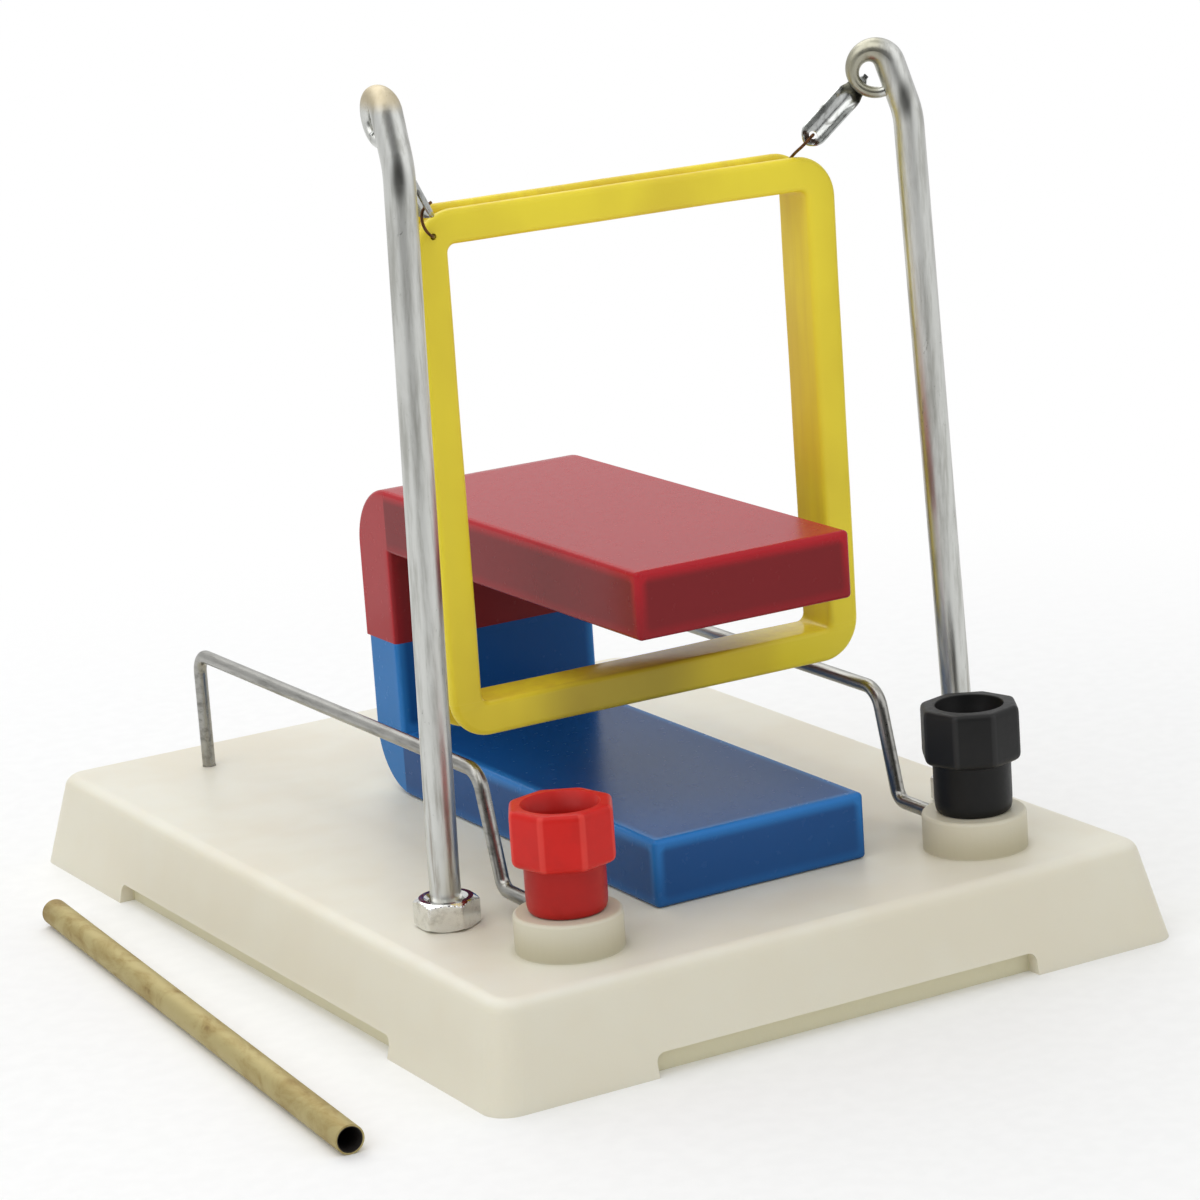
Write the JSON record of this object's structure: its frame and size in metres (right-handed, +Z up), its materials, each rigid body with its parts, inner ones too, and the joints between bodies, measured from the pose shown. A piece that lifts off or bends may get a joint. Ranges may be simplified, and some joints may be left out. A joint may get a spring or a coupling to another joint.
{
  "type": "ampere force demonstration apparatus",
  "caption": "Classroom apparatus: a wound rectangular frame hangs from bent posts in the gap of a U magnet, on a moulded base with screw terminals, two rails and a loose brass tube.",
  "frame": {"origin": "centre of the base's footprint, on the surface that the base stands on", "axes": "+X along the front edge, from the red terminal to the black one; +Y from the terminals to the back; +Z up"},
  "size_m": [0.1316, 0.15, 0.1281],
  "materials": {
    "base_plastic": "satin moulded ivory plastic",
    "post_nickel": "dull nickel plate, scratched",
    "nut_chrome": "bright plated",
    "washer_zinc": "zinc plated",
    "tag_tin": "tinned",
    "red_insulation": "flexible PVC",
    "black_insulation": "flexible PVC",
    "stud_nickel": "nickel plated",
    "red_cap_plastic": "glossy moulded",
    "black_cap_plastic": "glossy moulded",
    "rail_chrome": "polished",
    "former_plastic": "glossy moulded yellow",
    "winding_copper": "enamelled copper wire",
    "winding_tape": "smooth adhesive tape",
    "link_steel": "bright spring metal",
    "lead_copper": "dark enamelled copper wire",
    "magnet_red": "smooth moulded red",
    "magnet_blue": "smooth moulded blue",
    "yoke_steel": "plain bent strip",
    "pole_ferrite": "sintered ferrite",
    "tube_brass": "tarnished drawn tube"
  },
  "bodies": {
    "stand": {"base": "base_plastic", "left_post": "post_nickel", "right_post": "post_nickel", "post_top_nuts": "nut_chrome", "post_bottom_nuts": "nut_chrome", "terminal_nuts": "nut_chrome", "post_washers": "washer_zinc", "terminal_washers": "washer_zinc", "post_tags": "tag_tin", "terminal_tags": "tag_tin", "left_lead_wire": "red_insulation", "right_lead_wire": "black_insulation", "red_terminal_stud": "stud_nickel", "black_terminal_stud": "stud_nickel", "left_rail": "rail_chrome", "right_rail": "rail_chrome"},
    "coil": {"coil_former": "former_plastic", "coil_winding": "winding_copper", "winding_tape": "winding_tape", "left_link": "link_steel", "right_link": "link_steel", "left_coil_lead": "lead_copper", "right_coil_lead": "lead_copper"},
    "magnet": {"magnet_red_cover": "magnet_red", "magnet_blue_cover": "magnet_blue", "magnet_yoke": "yoke_steel", "red_pole_block": "pole_ferrite", "blue_pole_block": "pole_ferrite"},
    "red_cap": {"red_terminal_cap": "red_cap_plastic"},
    "black_cap": {"black_terminal_cap": "black_cap_plastic"},
    "tube": {"brass_tube": "tube_brass"}
  },
  "joints": [
    {"name": "coil_swing", "type": "hinge", "parent": "stand", "child": "coil", "pos_m": [-0.00218, -0.03401, 0.12004], "axis": [0.9998, -0.0174, -0.0117], "range_deg": [-19, 19]},
    {"name": "magnet_slide", "type": "slide", "parent": "stand", "child": "magnet", "axis": [0, 1, 0], "range_m": [-0.015, 0.04]},
    {"name": "red_cap_turn", "type": "hinge", "parent": "stand", "child": "red_cap", "pos_m": [-0.033, -0.0576, 0.0268], "axis": [0, 0, 1], "continuous": true},
    {"name": "black_cap_turn", "type": "hinge", "parent": "stand", "child": "black_cap", "pos_m": [0.033, -0.0576, 0.0268], "axis": [0, 0, 1], "continuous": true},
    {"name": "tube_slide", "type": "slide", "parent": "stand", "child": "tube", "axis": [-0.9977, 0.068, 0], "range_m": [-0.008, 0.06]}
  ]
}
